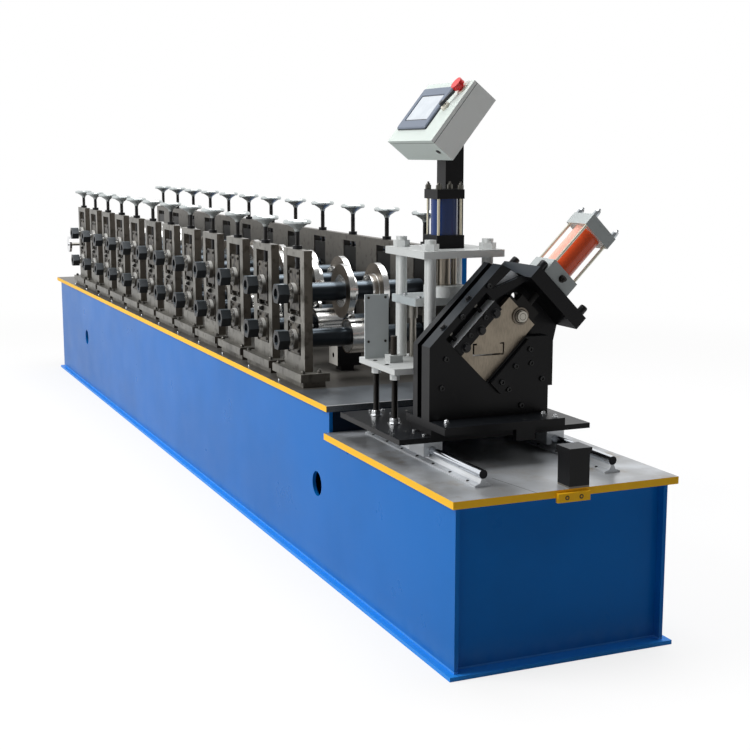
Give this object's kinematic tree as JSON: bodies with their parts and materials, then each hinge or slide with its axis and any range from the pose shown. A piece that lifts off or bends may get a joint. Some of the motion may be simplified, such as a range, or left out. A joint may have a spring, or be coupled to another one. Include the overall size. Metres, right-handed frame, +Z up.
{
  "type": "roll forming machine",
  "caption": "Roll forming line on a long welded base: paired roll stations between bearing stands, then a sliding carriage with a punching press, a slanted cut-off and a control box.",
  "frame": {"origin": "plan centre of the underside of the bottom flange, on the floor", "axes": "+X along the machine to the exit end, +Y away from the operator, +Z up"},
  "size_m": [5.722, 0.7216, 1.6013],
  "materials": {
    "base_blue": "gloss blue enamel",
    "table_steel": "ground plate, lightly oiled",
    "stand_steel": "machined plate, oiled",
    "block_steel": "blackened, machined",
    "handwheel_chrome": "polished chrome rim",
    "roll_steel": "turned and polished tool steel",
    "rail_steel": "hard chromed shaft",
    "support_aluminium": "extruded",
    "bearing_aluminium": "machined",
    "black_paint": "satin black enamel",
    "press_paint": "light grey enamel",
    "tool_steel": "ground tool steel",
    "cylinder_blue": "blue tube, dark caps",
    "cylinder_orange": "orange tube, pale caps",
    "box_paint": "fine textured pale grey-green powder coat",
    "button_red": "moulded"
  },
  "bodies": {
    "base": {"bottom_flange": "base_blue", "side_plates": "base_blue", "end_plates": "base_blue", "step_riser": "base_blue", "upper_table": "table_steel", "exit_table": "table_steel", "operator_stands": "stand_steel", "drive_stand_wall": "stand_steel", "stand_feet": "stand_steel", "operator_bearing_blocks": "block_steel", "drive_bearing_blocks": "block_steel", "adjusting_handwheels": "handwheel_chrome", "drive_guard": "base_blue", "guide_rails": "rail_steel", "rail_supports": "support_aluminium", "end_stop": "black_paint", "entry_guide": "stand_steel", "strip_guide": "stand_steel"},
    "carriage": {"carriage_plate": "black_paint", "rail_bearings": "bearing_aluminium", "press_lower_plate": "press_paint", "press_columns": "press_paint", "press_top_plate": "press_paint", "punch_die": "tool_steel", "press_cylinder": "cylinder_blue", "cutter_base": "black_paint", "cutter_front_plate": "black_paint", "cutter_back_plate": "black_paint", "blade_gibs": "black_paint", "cylinder_mount": "black_paint", "shear_cylinder": "cylinder_orange", "panel_post": "black_paint", "control_box": "box_paint"},
    "punch_slide": {"punch_slide": "press_paint"},
    "shear_blade": {"shear_blade": "tool_steel"},
    "emergency_button": {"emergency_button": "button_red"},
    "upper_roll_01": {"upper_roll_01": "roll_steel"},
    "upper_roll_02": {"upper_roll_02": "roll_steel"},
    "upper_roll_03": {"upper_roll_03": "roll_steel"},
    "upper_roll_04": {"upper_roll_04": "roll_steel"},
    "upper_roll_05": {"upper_roll_05": "roll_steel"},
    "upper_roll_06": {"upper_roll_06": "roll_steel"},
    "upper_roll_07": {"upper_roll_07": "roll_steel"},
    "upper_roll_08": {"upper_roll_08": "roll_steel"},
    "upper_roll_09": {"upper_roll_09": "roll_steel"},
    "upper_roll_10": {"upper_roll_10": "roll_steel"},
    "upper_roll_11": {"upper_roll_11": "roll_steel"},
    "upper_roll_12": {"upper_roll_12": "roll_steel"},
    "lower_roll_01": {"lower_roll_01": "roll_steel"},
    "lower_roll_02": {"lower_roll_02": "roll_steel"},
    "lower_roll_03": {"lower_roll_03": "roll_steel"},
    "lower_roll_04": {"lower_roll_04": "roll_steel"},
    "lower_roll_05": {"lower_roll_05": "roll_steel"},
    "lower_roll_06": {"lower_roll_06": "roll_steel"},
    "lower_roll_07": {"lower_roll_07": "roll_steel"},
    "lower_roll_08": {"lower_roll_08": "roll_steel"},
    "lower_roll_09": {"lower_roll_09": "roll_steel"},
    "lower_roll_10": {"lower_roll_10": "roll_steel"},
    "lower_roll_11": {"lower_roll_11": "roll_steel"},
    "lower_roll_12": {"lower_roll_12": "roll_steel"}
  },
  "joints": [
    {"name": "carriage_slide", "type": "slide", "parent": "base", "child": "carriage", "axis": [1, 0, 0], "range_m": [0, 0.195]},
    {"name": "punch_stroke", "type": "slide", "parent": "carriage", "child": "punch_slide", "axis": [0, 0, -1], "range_m": [0, 0.04]},
    {"name": "shear_stroke", "type": "slide", "parent": "carriage", "child": "shear_blade", "axis": [0, -0.7071, -0.7071], "range_m": [0, 0.045]},
    {"name": "emergency_push", "type": "slide", "parent": "carriage", "child": "emergency_button", "axis": [0, 0.7815, -0.6239], "range_m": [0, 0.006]},
    {"name": "lower_spin_01", "type": "hinge", "parent": "base", "child": "lower_roll_01", "pos_m": [-2.303, 0, 0.735], "axis": [0, 1, 0], "continuous": true},
    {"name": "upper_spin_01", "type": "hinge", "parent": "base", "child": "upper_roll_01", "pos_m": [-2.303, 0, 0.897], "axis": [0, 1, 0], "continuous": true},
    {"name": "lower_spin_02", "type": "hinge", "parent": "base", "child": "lower_roll_02", "pos_m": [-1.96, 0, 0.735], "axis": [0, 1, 0], "continuous": true},
    {"name": "upper_spin_02", "type": "hinge", "parent": "base", "child": "upper_roll_02", "pos_m": [-1.96, 0, 0.897], "axis": [0, 1, 0], "continuous": true},
    {"name": "lower_spin_03", "type": "hinge", "parent": "base", "child": "lower_roll_03", "pos_m": [-1.617, 0, 0.735], "axis": [0, 1, 0], "continuous": true},
    {"name": "upper_spin_03", "type": "hinge", "parent": "base", "child": "upper_roll_03", "pos_m": [-1.617, 0, 0.897], "axis": [0, 1, 0], "continuous": true},
    {"name": "lower_spin_04", "type": "hinge", "parent": "base", "child": "lower_roll_04", "pos_m": [-1.274, 0, 0.735], "axis": [0, 1, 0], "continuous": true},
    {"name": "upper_spin_04", "type": "hinge", "parent": "base", "child": "upper_roll_04", "pos_m": [-1.274, 0, 0.897], "axis": [0, 1, 0], "continuous": true},
    {"name": "lower_spin_05", "type": "hinge", "parent": "base", "child": "lower_roll_05", "pos_m": [-0.931, 0, 0.735], "axis": [0, 1, 0], "continuous": true},
    {"name": "upper_spin_05", "type": "hinge", "parent": "base", "child": "upper_roll_05", "pos_m": [-0.931, 0, 0.897], "axis": [0, 1, 0], "continuous": true},
    {"name": "lower_spin_06", "type": "hinge", "parent": "base", "child": "lower_roll_06", "pos_m": [-0.588, 0, 0.735], "axis": [0, 1, 0], "continuous": true},
    {"name": "upper_spin_06", "type": "hinge", "parent": "base", "child": "upper_roll_06", "pos_m": [-0.588, 0, 0.897], "axis": [0, 1, 0], "continuous": true},
    {"name": "lower_spin_07", "type": "hinge", "parent": "base", "child": "lower_roll_07", "pos_m": [-0.245, 0, 0.735], "axis": [0, 1, 0], "continuous": true},
    {"name": "upper_spin_07", "type": "hinge", "parent": "base", "child": "upper_roll_07", "pos_m": [-0.245, 0, 0.897], "axis": [0, 1, 0], "continuous": true},
    {"name": "lower_spin_08", "type": "hinge", "parent": "base", "child": "lower_roll_08", "pos_m": [0.098, 0, 0.735], "axis": [0, 1, 0], "continuous": true},
    {"name": "upper_spin_08", "type": "hinge", "parent": "base", "child": "upper_roll_08", "pos_m": [0.098, 0, 0.897], "axis": [0, 1, 0], "continuous": true},
    {"name": "lower_spin_09", "type": "hinge", "parent": "base", "child": "lower_roll_09", "pos_m": [0.441, 0, 0.735], "axis": [0, 1, 0], "continuous": true},
    {"name": "upper_spin_09", "type": "hinge", "parent": "base", "child": "upper_roll_09", "pos_m": [0.441, 0, 0.897], "axis": [0, 1, 0], "continuous": true},
    {"name": "lower_spin_10", "type": "hinge", "parent": "base", "child": "lower_roll_10", "pos_m": [0.784, 0, 0.735], "axis": [0, 1, 0], "continuous": true},
    {"name": "upper_spin_10", "type": "hinge", "parent": "base", "child": "upper_roll_10", "pos_m": [0.784, 0, 0.897], "axis": [0, 1, 0], "continuous": true},
    {"name": "lower_spin_11", "type": "hinge", "parent": "base", "child": "lower_roll_11", "pos_m": [1.127, 0, 0.735], "axis": [0, 1, 0], "continuous": true},
    {"name": "upper_spin_11", "type": "hinge", "parent": "base", "child": "upper_roll_11", "pos_m": [1.127, 0, 0.897], "axis": [0, 1, 0], "continuous": true},
    {"name": "lower_spin_12", "type": "hinge", "parent": "base", "child": "lower_roll_12", "pos_m": [1.47, 0, 0.735], "axis": [0, 1, 0], "continuous": true},
    {"name": "upper_spin_12", "type": "hinge", "parent": "base", "child": "upper_roll_12", "pos_m": [1.47, 0, 0.897], "axis": [0, 1, 0], "continuous": true}
  ],
  "couplings": [
    {"joint": "upper_spin_01", "follows": "lower_spin_01", "ratio": -1},
    {"joint": "lower_spin_02", "follows": "lower_spin_01", "ratio": 1},
    {"joint": "upper_spin_02", "follows": "lower_spin_01", "ratio": -1},
    {"joint": "lower_spin_03", "follows": "lower_spin_01", "ratio": 1},
    {"joint": "upper_spin_03", "follows": "lower_spin_01", "ratio": -1},
    {"joint": "lower_spin_04", "follows": "lower_spin_01", "ratio": 1},
    {"joint": "upper_spin_04", "follows": "lower_spin_01", "ratio": -1},
    {"joint": "lower_spin_05", "follows": "lower_spin_01", "ratio": 1},
    {"joint": "upper_spin_05", "follows": "lower_spin_01", "ratio": -1},
    {"joint": "lower_spin_06", "follows": "lower_spin_01", "ratio": 1},
    {"joint": "upper_spin_06", "follows": "lower_spin_01", "ratio": -1},
    {"joint": "lower_spin_07", "follows": "lower_spin_01", "ratio": 1},
    {"joint": "upper_spin_07", "follows": "lower_spin_01", "ratio": -1},
    {"joint": "lower_spin_08", "follows": "lower_spin_01", "ratio": 1},
    {"joint": "upper_spin_08", "follows": "lower_spin_01", "ratio": -1},
    {"joint": "lower_spin_09", "follows": "lower_spin_01", "ratio": 1},
    {"joint": "upper_spin_09", "follows": "lower_spin_01", "ratio": -1},
    {"joint": "lower_spin_10", "follows": "lower_spin_01", "ratio": 1},
    {"joint": "upper_spin_10", "follows": "lower_spin_01", "ratio": -1},
    {"joint": "lower_spin_11", "follows": "lower_spin_01", "ratio": 1},
    {"joint": "upper_spin_11", "follows": "lower_spin_01", "ratio": -1},
    {"joint": "lower_spin_12", "follows": "lower_spin_01", "ratio": 1},
    {"joint": "upper_spin_12", "follows": "lower_spin_01", "ratio": -1}
  ]
}
